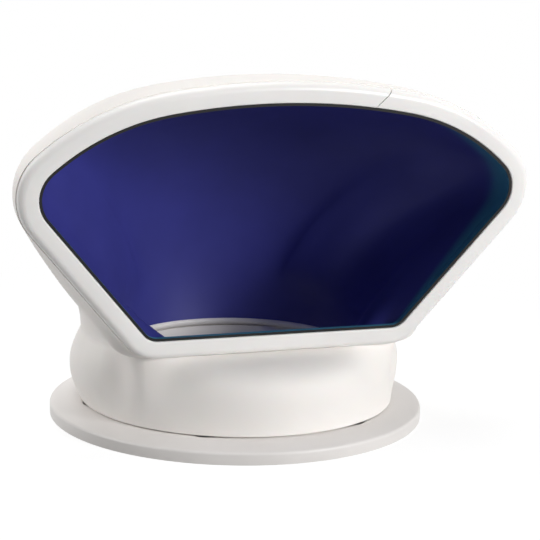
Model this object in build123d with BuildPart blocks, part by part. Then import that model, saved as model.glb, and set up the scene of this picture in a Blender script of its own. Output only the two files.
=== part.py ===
# Low-profile dorade vent: a soft cowl that turns and lifts off on a round deck ring.
# Origin on the ring's axis at the underside of the flange, +Z up, the mouth faces -Y.
from build123d import *
from math import asin, atan2, cos, degrees, exp, pi, radians, sin
import os

os.makedirs("parts", exist_ok=True)

# Duct and deck ring
duct_radius = 50.8
flange_radius = 82.5
flange_edge_height = 5.0
flange_height = 7.0
flange_crown_radius = 70.0
flange_round = 1.2
collar_wall = 3.0
collar_height = 26.2

# Fixing holes under the skirt, for 5 mm countersunk screws
fixing_count = 6
fixing_circle = 130.0
fixing_hole_radius = 2.6
fixing_head_radius = 4.8

# Gasket channel on the underside
gasket_width = 8.0
gasket_outer_radius = 79.5
gasket_thickness = 2.0
gasket_fit = 0.2

# Helical grooves in the collar wall, for the lugs of a closing cap
groove_count = 3
groove_pitch = 71.0
groove_drop = 9.0
groove_height = 2.4
groove_depth = 1.4
groove_first_angle = 109.0

# Insect screen on a ledge in the bore
ledge_inner_radius = 47.6
ledge_height = 3.0
screen_frame_height = 2.4
screen_clamp_height = 2.0
screen_fit = 0.3
mesh_thickness = 0.8
mesh_margin = 1.0

# Open spring rings of round wire
circlip_wire = 1.6
circlip_gap = 14.0
circlip_fit = 0.1
groove_seat = 0.7

# Swivel ring, its washer and its friction ring
running_fit = 0.1
washer_thickness = 0.8
swivel_wall = 2.6
key_count = 4
key_width = 8.0
key_height = 1.2
key_fit = 0.3
friction_wire = 2.0
friction_height = 14.8

# Neck ring of the cowl
web_gap = 0.6
web_thickness = 2.9
web_radius = 63.0
web_flat = 56.5
lip_inner_radius = 51.1
hub_wall = 2.4
hub_bottom = 9.5
seat_height = 1.6
seat_wall = 1.6

# Clamp ring and its screws
clamp_thickness = 2.4
clamp_width = 4.4
shell_flange_thickness = 3.0
clamp_screw_count = 6
clamp_screw_radius = 1.4
clamp_head_radius = 1.9
clamp_head_height = 1.5
clamp_hole_fit = 0.15
clamp_screw_bite = 2.2

# Mouth: inner edge of the rim, measured in the mouth's own leaning plane
mouth_lean = 8.5
mouth_front = 51.7
mouth_bottom = 45.2
mouth_height = 97.2
arch_radius = 290.0
arch_half_width = 50.0
shoulder_radius = 92.0
shoulder_slope = 42.1
tip_radius = 14.0
slant_angle = 50.3
corner_radius = 8.0

# Rim round the mouth
rim_width = 8.0
rim_depth = 3.6
rim_outer_round = 3.2
rim_inner_round = 0.6
rim_joint_gap = 0.3
rim_joint_place = 36.0
rim_joint_angle = -45.0

# Liner
liner_wall = 1.6
liner_recess = 1.0
liner_setback = 0.2
liner_fit = 0.9
liner_clearance = 0.6

# Shell: skirt, and hood standing on it
shell_wall = 3.0
shell_proud = 0.4
edge_cut = 1.2
foot_gap = 0.5
foot_radius = 69.3
bulge = 4.7
waist_radius = 69.0
waist_height = 37.6
waist_step = 0.5
hood_sink = 4.5
hood_front = 43.0
hood_corner = 8.0
hood_side_slope = 18.0

# Front panel of the skirt, which leans back to the mouth between two soft ridges
panel_front = 49.5
panel_curve = 6.0
panel_start = 25.0
panel_end = 50.0
panel_crispness = 14.0
sink_curve = 4.0
ridge_angle = 51.0
ridge_spread = 9.0
ridge_height = 4.5
ridge_curve = 1.3
valley_angle = 63.0
valley_spread = 7.0
valley_depth = 2.0
valley_curve = 1.5
bulge_start = 54.0
bulge_end = 84.0

# Angles from the front between which the hood's skin comes to follow the skirt's
join_start = 44.0
join_end = 58.0

# Handles of the routes that the hoods' foremost points follow
shell_rise = 0.5
shell_run = 1.5
liner_back = 8.0
liner_rise = 3.0
liner_run = 6.5

# Number of cross-sections that each skin is drawn through, and points round a skirt section
skirt_stations = 7
hood_stations = 8
skirt_points = 48

# Share of the mouth's shape in the first cross-section of a hood
first_blend = 0.003

# Points along each part of a half outline: front, corner, slant, tip, shoulder, crown
front_points = 4
side_points = (5, 3, 5, 5)
crown_points = 3

# Corner radius of a round section, as a share of its radius
round_corner = 0.97

# Worked out from the sizes above
gasket_inner_radius = gasket_outer_radius - gasket_width
collar_radius = duct_radius + collar_wall
swivel_bore = collar_radius + running_fit
swivel_radius = swivel_bore + swivel_wall
key_radius = swivel_radius + key_height
hub_bore = swivel_radius + key_fit
hub_radius = hub_bore + hub_wall
web_bottom = collar_height + web_gap
web_top = web_bottom + web_thickness
mouth_angle = 90 + mouth_lean
mouth_half = mouth_height / 2
mouth_slant = slant_angle - 90
foot_height = flange_height + foot_gap
shell_grow = rim_width + shell_proud
hood_bottom = waist_height - hood_sink
hood_share = (hood_bottom - foot_height) / (waist_height - foot_height)
hood_neck = (waist_radius, hood_front, hood_corner, -hood_side_slope)


def mix(start, end, share):
    """Value a share of the way from start to end."""
    return start + (end - start) * share


def ease(share):
    """Share that starts and stops gently."""
    return share * share * (3 - 2 * share)


def step(value, start, end):
    """Share that grows gently from 0 at start to 1 at end."""
    return ease(min(max((value - start) / (end - start), 0), 1))


def direction(angle):
    """Unit vector at an angle from a section's x axis."""
    return Vector(cos(radians(angle)), sin(radians(angle)))


def bezier(points, share):
    """Point on the cubic curve of four control points."""
    rest = 1 - share
    weights = (rest**3, 3 * rest**2 * share, 3 * rest * share**2, share**3)
    place = Vector(0, 0, 0)
    for point, weight in zip(points, weights):
        place = place + point * weight
    return place


def side_point(y, z):
    """Point in the cowl's middle plane."""
    return Vector(0, y, z)


def section_plane(angle, front, reach):
    """Plane of one cross-section, tilted about its foremost point, with its origin a reach behind it."""
    up = side_point(cos(radians(angle)), sin(radians(angle)))
    normal = (0, -sin(radians(angle)), cos(radians(angle)))
    return Plane(origin=front + up * reach, x_dir=(1, 0, 0), z_dir=normal)


def cowl_outline(arch, shoulder, tip, corner, top, bottom, slant):
    """Closed outline of arcs, each tangent to the next, with two slanting sides and a flat front."""
    arch_end = 90 - degrees(asin(arch_half_width / arch_radius))
    shoulder_end = 90 - shoulder_slope
    arch_centre = Vector(0, top - arch)
    shoulder_centre = arch_centre + direction(arch_end) * (arch - shoulder)
    tip_centre = shoulder_centre + direction(shoulder_end) * (shoulder - tip)
    facing = direction(slant)
    corner_rise = corner - bottom
    corner_side = tip_centre.X + (tip - corner - (corner_rise - tip_centre.Y) * facing.Y) / facing.X
    corner_centre = Vector(corner_side, corner_rise)
    with BuildLine() as outline:
        right = [
            CenterArc(corner_centre, corner, -90, slant + 90),
            Line(corner_centre + facing * corner, tip_centre + facing * tip),
            CenterArc(tip_centre, tip, slant, shoulder_end - slant),
            CenterArc(shoulder_centre, shoulder, shoulder_end, arch_end - shoulder_end),
        ]
        crown = CenterArc(arch_centre, arch, arch_end, 180 - 2 * arch_end)
        left = [mirror(edge, about=Plane.YZ) for edge in right]
        foot = Line(left[0] @ 0, right[0] @ 0)
    return [foot, *right, crown, *reversed(left)]


def section_outline(share, neck_radius, neck_front, neck_corner, neck_slant, grow):
    """Outline between a round neck at share 0 and the mouth, grown by an amount, at share 1."""
    return cowl_outline(
        arch=mix(neck_radius, arch_radius + grow, share),
        shoulder=mix(neck_radius, shoulder_radius + grow, share),
        tip=mix(neck_radius, tip_radius + grow, share),
        corner=mix(neck_corner, corner_radius + grow, share),
        top=mix(neck_radius, mouth_half + grow, share),
        bottom=mix(neck_front, mouth_half + grow, share),
        slant=mix(neck_slant, mouth_slant, share),
    )


def mouth_point(depth, grow):
    """Lowest point of the mouth outline, at a depth behind the rim's face and grown outwards."""
    back = side_point(sin(radians(mouth_angle)), -cos(radians(mouth_angle)))
    up = side_point(cos(radians(mouth_angle)), sin(radians(mouth_angle)))
    return side_point(-mouth_front, mouth_bottom) + back * depth - up * grow


def mouth_plane(depth):
    """Plane of the mouth at a depth behind the rim's face, with its origin at mid height."""
    return section_plane(mouth_angle, mouth_point(depth, 0), mouth_half)


def mouth_outline(grow):
    """Outline of the mouth, grown outwards."""
    return section_outline(1, duct_radius, duct_radius, corner_radius, mouth_slant, grow)


def hump(angle, middle, spread):
    """Smooth hump of height 1 about a middle."""
    return exp(-(((angle - middle) / spread) ** 2))


def skirt_point(share, angle, inset):
    """Point of the skirt at a share of its height and an angle from the front, set in by a wall."""
    away = abs(angle)
    lean = share ** mix(panel_curve, ridge_curve, step(away, panel_start, panel_end))
    ridge = waist_radius + ridge_height * hump(away, ridge_angle, ridge_spread) - inset
    flat = max(cos(radians(away)), 0) / (panel_front - inset)
    top = (flat**panel_crispness + ridge**-panel_crispness) ** (-1 / panel_crispness)
    radius = mix(foot_radius - inset, top, lean)
    radius += bulge * step(away, bulge_start, bulge_end) * sin(pi * share)
    radius -= valley_depth * hump(away, valley_angle, valley_spread) * sin(pi * share**valley_curve)
    return Vector(radius * sin(radians(angle)), -radius * cos(radians(angle)))


def skirt_sections(inset):
    """Sections of the skirt from its foot to the waist, set in and sunk by a wall."""
    sections = []
    for station in range(skirt_stations):
        share = station / (skirt_stations - 1)
        angles = [360 * place / skirt_points - 180 for place in range(skirt_points)]
        height = mix(foot_height, waist_height, share) - inset * share**sink_curve
        with BuildSketch(Plane.XY.offset(height)) as section:
            with BuildLine() as outline:
                Spline(*(skirt_point(share, angle, inset) for angle in angles), periodic=True)
            make_face(outline.edges())
        sections.append(section.sketch)
    return sections


def hood_outlines(neck, route, grow, inset):
    """Planes and outlines that swing up from the neck to the mouth along a route, set in by a wall."""
    radius, front, corner, slant = neck
    outlines = []
    for station in range(hood_stations):
        share = station / (hood_stations - 1)
        blend = mix(first_blend, 1, ease(share))
        reach = mix(front, mouth_half + grow, blend)
        outlines.append(
            (
                section_plane(mouth_angle * share, bezier(route, share), reach),
                section_outline(
                    blend,
                    radius - inset,
                    front - inset,
                    corner - inset * corner / radius,
                    slant,
                    grow - inset,
                ),
            )
        )
    return outlines


def hood_sections(neck, route, grow, inset):
    """Sections of a hood whose sides are arcs all the way."""
    sections = []
    for place, edges in hood_outlines(neck, route, grow, inset):
        with BuildSketch(place) as section:
            make_face(edges)
        sections.append(section.sketch)
    return sections


def ring_points(edges):
    """Points round an outline, anticlockwise from the middle of its front."""
    front, *sides, crown = edges[: len(edges) // 2 + 1]
    right = [front @ mix(0.5, 1, place / front_points) for place in range(front_points)]
    for edge, count in zip(sides, side_points):
        right += [edge @ (place / count) for place in range(count)]
    right += [crown @ (place / crown_points / 2) for place in range(crown_points + 1)]
    return right + [Vector(-point.X, point.Y) for point in reversed(right[1:-1])]


def shell_sections(route, inset):
    """Sections of the hood that start from the skirt's own outline, except over the front panel."""
    outlines = hood_outlines(hood_neck, route, shell_grow, inset)
    moves = []
    for point in ring_points(outlines[0][1]):
        angle = degrees(atan2(point.X, -point.Y))
        goal = min(skirt_point(share, angle, inset).length for share in (hood_share, 1)) - waist_step
        moves.append(point * ((goal / point.length - 1) * step(abs(angle), join_start, join_end)))
    sections = []
    for station, (place, edges) in enumerate(outlines):
        fade = (1 - station / (hood_stations - 1)) ** 2
        with BuildSketch(place) as section:
            with BuildLine() as outline:
                Spline(*(p + m * fade for p, m in zip(ring_points(edges), moves)), periodic=True)
            make_face(outline.edges())
        sections.append(section.sketch)
    return sections


def ring(inner, outer, bottom, top, mode=Mode.ADD):
    """Plain ring about the upright axis."""
    with BuildSketch(Plane.XY.offset(bottom)) as outline:
        Circle(outer)
        Circle(inner, mode=Mode.SUBTRACT)
    extrude(outline.sketch, amount=top - bottom, mode=mode)


def wire_ring(centre_radius, height, wire, gap_angle):
    """Ring of round wire about the upright axis, open by an angle."""
    with BuildSketch(Plane.XZ) as outline:
        with Locations((centre_radius, height)):
            Circle(wire / 2)
    revolve(outline.sketch, axis=Axis.Z, revolution_arc=360 - gap_angle)


# Deck ring: flange with a sloping top, collar, screen ledge
with BuildPart() as deck_ring:
    with BuildSketch(Plane.XZ):
        with BuildLine():
            Polyline(
                (ledge_inner_radius, 0),
                (flange_radius, 0),
                (flange_radius, flange_edge_height),
                (flange_crown_radius, flange_height),
                (collar_radius, flange_height),
                (collar_radius, collar_height),
                (duct_radius, collar_height),
                (duct_radius, ledge_height),
                (ledge_inner_radius, ledge_height),
                close=True,
            )
        make_face()
    revolve(axis=Axis.Z)
    rim_edges = deck_ring.edges().filter_by(GeomType.CIRCLE).filter_by(lambda edge: edge.radius == flange_radius)
    fillet(rim_edges.sort_by(Axis.Z)[-1], flange_round)
    # Channel for the gasket
    with BuildSketch():
        Circle(gasket_outer_radius + gasket_fit)
        Circle(gasket_inner_radius - gasket_fit, mode=Mode.SUBTRACT)
    extrude(amount=gasket_thickness, mode=Mode.SUBTRACT)
    # Countersunk fixing holes
    with Locations(Plane.XY.offset(flange_height)):
        with PolarLocations(fixing_circle / 2, fixing_count):
            CounterSinkHole(fixing_hole_radius, fixing_head_radius)
    # Groove outside for the swivel ring's circlip
    swivel_clip_height = collar_height - circlip_wire - groove_seat
    with BuildSketch(Plane.XZ):
        with Locations((collar_radius, swivel_clip_height)):
            Circle(circlip_wire / 2 + circlip_fit)
    revolve(axis=Axis.Z, mode=Mode.SUBTRACT)
    # Groove inside for the screen's circlip
    mesh_bottom = ledge_height + screen_frame_height
    screen_top = mesh_bottom + mesh_thickness + screen_clamp_height
    screen_clip_height = screen_top + circlip_wire / 2
    with BuildSketch(Plane.XZ):
        with Locations((duct_radius, screen_clip_height)):
            Circle(circlip_wire / 2 + circlip_fit)
    revolve(axis=Axis.Z, mode=Mode.SUBTRACT)
    # Helical grooves that fall from the collar's top edge
    for turn in range(groove_count):
        angle = groove_first_angle - 360 * groove_drop / groove_pitch + turn * 360 / groove_count
        start = Plane(origin=(0, 0, collar_height - groove_drop), x_dir=direction(angle), z_dir=(0, 0, 1))
        with BuildLine(start):
            rise = Helix(pitch=groove_pitch, height=groove_drop + groove_height, radius=duct_radius)
        with BuildSketch(Plane(origin=rise @ 0, x_dir=direction(angle), z_dir=rise % 0)):
            Rectangle(groove_depth * 2, groove_height)
        sweep(path=rise, is_frenet=True, mode=Mode.SUBTRACT)
deck_ring.part.label = "deck_ring"

# Deck gasket: soft ring pressed into its channel
with BuildPart() as deck_gasket:
    ring(gasket_inner_radius, gasket_outer_radius, 0, gasket_thickness - gasket_fit)
deck_gasket.part.label = "deck_gasket"

# Insect screen: frame on the ledge, woven mesh, clamp ring and spring ring
screen_radius = duct_radius - screen_fit
with BuildPart() as screen_frame:
    ring(ledge_inner_radius, screen_radius, ledge_height, mesh_bottom)
    with BuildSketch(Plane.XY.offset(ledge_height)):
        for bar_angle in (0, 90):
            Rectangle(ledge_inner_radius * 2, screen_frame_height, rotation=bar_angle)
    extrude(amount=screen_frame_height)
screen_frame.part.label = "screen_frame"

with BuildPart() as insect_mesh:
    with BuildSketch(Plane.XY.offset(mesh_bottom)):
        Circle(screen_radius - mesh_margin)
    extrude(amount=mesh_thickness)
insect_mesh.part.label = "insect_mesh"

with BuildPart() as screen_clamp:
    ring(ledge_inner_radius, screen_radius, mesh_bottom + mesh_thickness, screen_top)
screen_clamp.part.label = "screen_clamp"

with BuildPart() as screen_circlip:
    wire_ring(duct_radius, screen_clip_height, circlip_wire, circlip_gap)
screen_circlip.part.label = "screen_circlip"

# Swivel ring: stepped bearing ring with keys that drive it with the cowl
washer_top = flange_height + washer_thickness
clip_step_top = swivel_clip_height - circlip_wire / 2 - circlip_fit
clip_step_radius = collar_radius + circlip_wire / 2 + circlip_fit
friction_centre = swivel_bore + friction_wire / 2
with BuildPart() as swivel_ring:
    with BuildSketch(Plane.XZ):
        with BuildLine():
            Polyline(
                (swivel_bore, washer_top),
                (swivel_radius, washer_top),
                (swivel_radius, web_bottom),
                (clip_step_radius, web_bottom),
                (clip_step_radius, clip_step_top),
                (swivel_bore, clip_step_top),
                close=True,
            )
        make_face()
        with Locations((friction_centre, friction_height)):
            Rectangle(friction_wire, friction_wire, mode=Mode.SUBTRACT)
    revolve(axis=Axis.Z)
    with BuildSketch(Plane.XY.offset(washer_top)):
        with PolarLocations(swivel_bore, key_count):
            Rectangle(key_radius - swivel_bore, key_width, align=(Align.MIN, Align.CENTER))
        Circle(swivel_radius - running_fit, mode=Mode.SUBTRACT)
    extrude(amount=web_bottom - washer_top)
swivel_ring.part.label = "swivel_ring"

# Thrust washer under the swivel ring and friction ring in its groove
with BuildPart() as thrust_washer:
    ring(swivel_bore + running_fit, swivel_radius, flange_height, washer_top)
thrust_washer.part.label = "thrust_washer"

with BuildPart() as friction_ring:
    wire_ring(friction_centre, friction_height, friction_wire - running_fit, 0)
friction_ring.part.label = "friction_ring"

with BuildPart() as swivel_circlip:
    wire_ring(collar_radius, swivel_clip_height, circlip_wire, circlip_gap)
swivel_circlip.part.label = "swivel_circlip"

# Neck ring: hub over the swivel ring, web with the white lip, seat for the liner
throat_radius = lip_inner_radius + liner_setback
seat_inner = throat_radius + liner_wall + liner_fit
clamp_top = web_bottom - shell_flange_thickness
clamp_bottom = clamp_top - clamp_thickness
clamp_inner = hub_radius + clamp_hole_fit
clamp_circle = clamp_inner + clamp_width / 2
with BuildPart() as neck_ring:
    with BuildSketch(Plane.XZ):
        with BuildLine():
            Polyline(
                (hub_bore, hub_bottom),
                (hub_radius, hub_bottom),
                (hub_radius, web_bottom),
                (web_radius, web_bottom),
                (web_radius, web_top),
                (seat_inner + seat_wall, web_top),
                (seat_inner + seat_wall, web_top + seat_height),
                (seat_inner, web_top + seat_height),
                (seat_inner, web_top),
                (lip_inner_radius, web_top),
                (lip_inner_radius, web_bottom),
                (hub_bore, web_bottom),
                close=True,
            )
        make_face()
    revolve(axis=Axis.Z)
    # Flat at the front, behind the shell's leaning panel
    with BuildSketch(Plane.XY.offset(web_bottom)):
        with Locations((0, -web_flat)):
            Rectangle(web_radius * 2, web_radius, align=(Align.CENTER, Align.MAX))
    extrude(amount=web_thickness, mode=Mode.SUBTRACT)
    # Slots for the keys
    with BuildSketch(Plane.XY.offset(hub_bottom)):
        with PolarLocations(swivel_bore, key_count):
            slot_depth = key_radius + key_fit - swivel_bore
            Rectangle(slot_depth, key_width + 2 * key_fit, align=(Align.MIN, Align.CENTER))
    extrude(amount=web_bottom - hub_bottom, mode=Mode.SUBTRACT)
    # Blind holes for the clamp screws
    with BuildSketch(Plane.XY.offset(web_bottom)):
        with PolarLocations(clamp_circle, clamp_screw_count):
            Circle(clamp_screw_radius + clamp_hole_fit)
    extrude(amount=clamp_screw_bite + clamp_hole_fit, mode=Mode.SUBTRACT)
neck_ring.part.label = "neck_ring"

# Clamp ring under the shell's inner flange, with its screws
with BuildPart() as clamp_ring:
    ring(clamp_inner, clamp_inner + clamp_width, clamp_bottom, clamp_top)
    with PolarLocations(clamp_circle, clamp_screw_count):
        Hole(clamp_screw_radius + clamp_hole_fit)
clamp_ring.part.label = "clamp_ring"

with BuildPart() as clamp_screws:
    with PolarLocations(clamp_circle, clamp_screw_count):
        with Locations((0, 0, clamp_bottom)):
            Cylinder(
                clamp_head_radius,
                clamp_head_height,
                align=(Align.CENTER, Align.CENTER, Align.MAX),
            )
            Cylinder(
                clamp_screw_radius,
                web_bottom + clamp_screw_bite - clamp_bottom,
                align=(Align.CENTER, Align.CENTER, Align.MIN),
            )
clamp_screws.part.label = "clamp_screws"

# Way of the liner from the throat to the mouth
liner_neck = (throat_radius, throat_radius, throat_radius * round_corner, mouth_slant)
liner_route = (
    side_point(-throat_radius, web_top),
    side_point(-throat_radius + liner_back, web_top + liner_rise),
    mouth_point(rim_depth + liner_run, liner_recess),
    mouth_point(rim_depth, liner_recess),
)

# Shell: skirt and hood as one hollow skin, with a flange inside that is clamped to the neck ring
shell_route, hollow_route = (
    (
        side_point(-hood_front, hood_bottom),
        side_point(-hood_front, hood_bottom + shell_rise),
        mouth_point(depth + shell_run, shell_grow),
        mouth_point(depth, shell_grow),
    )
    for depth in (rim_depth, rim_depth - edge_cut)
)
with BuildPart() as shell_hollow:
    loft(skirt_sections(shell_wall))
    ring(clamp_inner, flange_radius, clamp_top, web_bottom, mode=Mode.SUBTRACT)
    loft(shell_sections(hollow_route, shell_wall))

with BuildPart() as cowl_shell:
    loft(skirt_sections(0))
    loft(shell_sections(shell_route, 0))
    add(shell_hollow.part, mode=Mode.SUBTRACT)
    # Room for the liner behind the lower lip
    loft(hood_sections(liner_neck, liner_route, liner_recess, -liner_wall - liner_clearance), mode=Mode.SUBTRACT)
    with BuildSketch(Plane.XY.offset(clamp_top)):
        with PolarLocations(clamp_circle, clamp_screw_count):
            Circle(clamp_screw_radius + clamp_hole_fit)
    extrude(amount=shell_flange_thickness, mode=Mode.SUBTRACT)
cowl_shell.part.label = "cowl_shell"

# Liner: thin funnel from the throat to the mouth
with BuildPart() as cowl_liner:
    loft(hood_sections(liner_neck, liner_route, liner_recess, -liner_wall))
    loft(hood_sections(liner_neck, liner_route, liner_recess, 0), mode=Mode.SUBTRACT)
cowl_liner.part.label = "cowl_liner"

# Rim: broad rounded edging with a butt joint at the upper right
with BuildPart() as mouth_rim:
    with BuildSketch(mouth_plane(0)):
        make_face(mouth_outline(rim_width))
        make_face(mouth_outline(0), mode=Mode.SUBTRACT)
    extrude(amount=-rim_depth)
    front = mouth_rim.faces().filter_by(GeomType.PLANE).sort_by(Axis.Y)[0]
    fillet(front.outer_wire().edges(), rim_outer_round)
    front = mouth_rim.faces().filter_by(GeomType.PLANE).sort_by(Axis.Y)[0]
    fillet(front.inner_wires()[0].edges(), rim_inner_round)
    with BuildSketch(mouth_plane(0)):
        with Locations((rim_joint_place, mouth_half)):
            Rectangle(rim_joint_gap, 4 * rim_width, rotation=rim_joint_angle)
    extrude(amount=-rim_depth, mode=Mode.SUBTRACT)
mouth_rim.part.label = "mouth_rim"

for piece in (
    deck_ring,
    deck_gasket,
    screen_frame,
    insect_mesh,
    screen_clamp,
    screen_circlip,
    swivel_ring,
    thrust_washer,
    friction_ring,
    swivel_circlip,
    neck_ring,
    clamp_ring,
    clamp_screws,
    cowl_shell,
    cowl_liner,
    mouth_rim,
):
    export_step(piece.part, f"parts/{piece.part.label}.step")
    print(piece.part.label, len(piece.part.solids()), round(piece.part.volume), piece.part.is_valid)
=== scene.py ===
# Dorade vent with a soft white cowl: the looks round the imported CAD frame, in metres.
from itertools import zip_longest
from math import asin, atan2, cos, exp, pi, radians, sin

import bmesh
import bpy
from mathutils import Matrix, Vector


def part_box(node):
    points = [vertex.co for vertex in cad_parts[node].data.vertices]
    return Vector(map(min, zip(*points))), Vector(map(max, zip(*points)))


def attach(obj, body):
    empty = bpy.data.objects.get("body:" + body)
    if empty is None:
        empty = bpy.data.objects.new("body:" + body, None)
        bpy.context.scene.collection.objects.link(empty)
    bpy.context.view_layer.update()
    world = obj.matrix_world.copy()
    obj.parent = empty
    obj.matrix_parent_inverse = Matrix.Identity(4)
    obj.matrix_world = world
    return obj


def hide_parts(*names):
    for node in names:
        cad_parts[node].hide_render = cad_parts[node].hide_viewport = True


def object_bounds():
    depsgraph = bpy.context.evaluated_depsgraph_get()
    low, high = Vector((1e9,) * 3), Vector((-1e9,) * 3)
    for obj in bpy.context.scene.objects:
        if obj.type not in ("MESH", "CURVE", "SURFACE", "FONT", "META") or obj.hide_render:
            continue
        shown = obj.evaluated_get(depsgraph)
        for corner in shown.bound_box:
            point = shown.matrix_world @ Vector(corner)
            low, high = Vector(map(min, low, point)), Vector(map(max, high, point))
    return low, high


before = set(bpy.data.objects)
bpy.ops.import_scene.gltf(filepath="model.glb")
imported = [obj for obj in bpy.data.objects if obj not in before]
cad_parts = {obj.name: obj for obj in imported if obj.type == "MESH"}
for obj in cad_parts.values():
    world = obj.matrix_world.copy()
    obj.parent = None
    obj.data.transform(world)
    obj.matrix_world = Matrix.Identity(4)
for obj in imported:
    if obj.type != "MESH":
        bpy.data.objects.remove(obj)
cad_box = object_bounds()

bl_info = {
    "name": "Dorade vent",
    "version": (1, 0, 0),
    "blender": (4, 5, 0),
    "location": "3D View > Sidebar > Vent",
    "description": "Dresses the CAD model of a dorade vent",
    "category": "Object",
}

MM = 0.001

# Points along each part of half a section: flat front, corner, slanting side, tip, shoulder, crown
FRONT_POINTS = 12
CORNER_POINTS = 8
SIDE_POINTS = 14
TIP_POINTS = 12
SHOULDER_POINTS = 20
CROWN_POINTS = 14

# Rings along the rounding of the skirt's foot, the skirt, the hood and the liner
FOOT_RINGS = 4
SKIRT_RINGS = 26
HOOD_RINGS = 44
LINER_RINGS = 48

# Share of the mouth's shape in the first section of a hood
FIRST_BLEND = 0.003

# Corner radius of the round throat, as a share of its radius
ROUND_CORNER = 0.97

# The liner's lip begins at a share of the funnel. Its rings stand at shares of its depth and thickness.
LIP_SHARE = 0.97
LIP_STEPS = ((0.0, 1.0), (0.1, 1.0), (0.4, 1.0), (0.8, 0.8))

# How strongly the painted sheen, a teal band standing in for light caught along the liner's edge, shows on
# the first rings behind the lip
PAINTED_SHEEN_FADE = (1.0, 0.9, 0.7, 0.4, 0.1)

# The fold follows one point of each ring, and spreads over a few points below and above it
FOLD_PLACE = 43
FOLD_BELOW = 1.6
FOLD_ABOVE = 5.0

# Shares of the funnel at which the fold starts, is full, starts to fade and has ended
FOLD_START = 0.06
FOLD_FULL = 0.2
FOLD_FADE = 0.62
FOLD_END = 0.84

# Corners of the edging's profile that are rounded most, and where the profile sits beside its path
OUTER_CORNER = 3.0
INNER_CORNER = 2.0
EDGING_SIDE = 0.5
EDGING_BACK = 0.5
EDGING_ROUND_POINTS = 6

# Reach of the blade that cuts the butt joint, in widths and depths of the edging
BLADE_REACH = 4.0

# Sides of the round and hexagonal parts of a wire and a screw
WIRE_SIDES = 6
HEAD_SIDES = 24
SHANK_SIDES = 16
SOCKET_SIDES = 6

# A grid's edge that reaches less than this along an axis, in metres, lies across it
NO_LENGTH = 1e-6

# Size of the slow patches in moulded plastic and in the liner, and how light the darkest of them is
PLASTIC_PATCH = 30 * MM
LINER_PATCH = 40 * MM
PLASTIC_TONE = 0.96
LINER_TONE = 0.8

# How far light scatters in soft vinyl, how high a metal's grain stands and how uneven its gloss is
SCATTER = 2 * MM
METAL_GRAIN = 0.01 * MM
METAL_SPREAD = 0.3

# Range of a noise that is spread over the whole range of a finish
NOISE_LOW = 0.3
NOISE_HIGH = 0.7

# Camera: the object's width, its distance and its shifts, in radii of the flange
WIDTH_IN_FLANGES = 2.639
CAMERA_DISTANCE = 8.0
CAMERA_RIGHT = 0.170
CAMERA_UP = 0.753
CAMERA_NEAR = 0.01
CAMERA_FAR = 20.0

# Floor: half its width, the reach of its shadow in radii of the flange, how much of its glow the shadow
# takes, and how light it is to the light that falls on the object
FLOOR = 6.0
SHADOW_REACH = 4.0
SHADOW_GLOW = 0.7
FLOOR_BOUNCE = 0.4

# What the lamps aim at, where they stand and how wide they are, in metres
AIM = (0.0, 0.0, 0.07)
KEY_PLACE = (0.68, -1.05, 0.40)
LEFT_PLACE = (-1.09, 0.29, 0.72)
RIGHT_PLACE = (1.06, 0.39, 0.72)
TOP_PLACE = (0.0, 0.2, 1.4)
KEY_WIDTH = 0.35
SOFT_WIDTH = 0.8

# White of the floor's and the sky's glow
WHITE = (1.0, 1.0, 1.0, 1.0)

# Edges sharper than this stay crisp
CRISP = radians(38)

# Points of a CAD mesh nearer to each other than this are one point
MERGE = 0.0001 * MM


def hex_colour(code):
    """Linear colour of an sRGB hex code such as 1A2B3C."""
    parts = [int(code[place : place + 2], 16) / 255 for place in (0, 2, 4)]
    return tuple(part / 12.92 if part <= 0.04045 else ((part + 0.055) / 1.055) ** 2.4 for part in parts)


def length(name, description, default):
    """Length property, given in millimetres and kept in metres."""
    return bpy.props.FloatProperty(
        name=name, description=description, default=default * MM, unit="LENGTH", precision=5
    )


def colour(name, description, code):
    """Colour property, given as a hex code."""
    return bpy.props.FloatVectorProperty(
        name=name, description=description, default=hex_colour(code), subtype="COLOR", min=0, max=1
    )


def turn(name, description, default):
    """Angle property, given in degrees."""
    return bpy.props.FloatProperty(
        name=name, description=description, default=radians(default), subtype="ANGLE"
    )


def number(name, description, default):
    """Plain number property."""
    return bpy.props.FloatProperty(name=name, description=description, default=default)


def power(name, description, default):
    """Lamp power property, in watts."""
    return bpy.props.FloatProperty(name=name, description=description, default=default, unit="POWER")


class MouthSizes(bpy.types.PropertyGroup):
    """Opening of the cowl, measured at the inner edge of its edging"""

    lean: turn("Lean", "Forward lean of the mouth", 8.5)
    front: length("Front", "Distance of the lower lip in front of the axis", 51.7)
    bottom: length("Bottom", "Height of the lower lip above the deck", 45.2)
    height: length("Height", "Height of the opening", 97.2)
    arch: length("Arch", "Radius of the flat arch on top", 290.0)
    arch_half: length("Half arch", "Half width of the flat arch", 50.0)
    shoulder: length("Shoulder", "Radius of the shoulders", 92.0)
    shoulder_slope: turn("Shoulder slope", "Slope where a shoulder meets its tip", 42.1)
    tip: length("Tip", "Radius of the side tips", 14.0)
    slant: turn("Slant", "Angle of the slanting sides", 50.3)
    corner: length("Corner", "Radius of the lower corners", 8.0)


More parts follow.
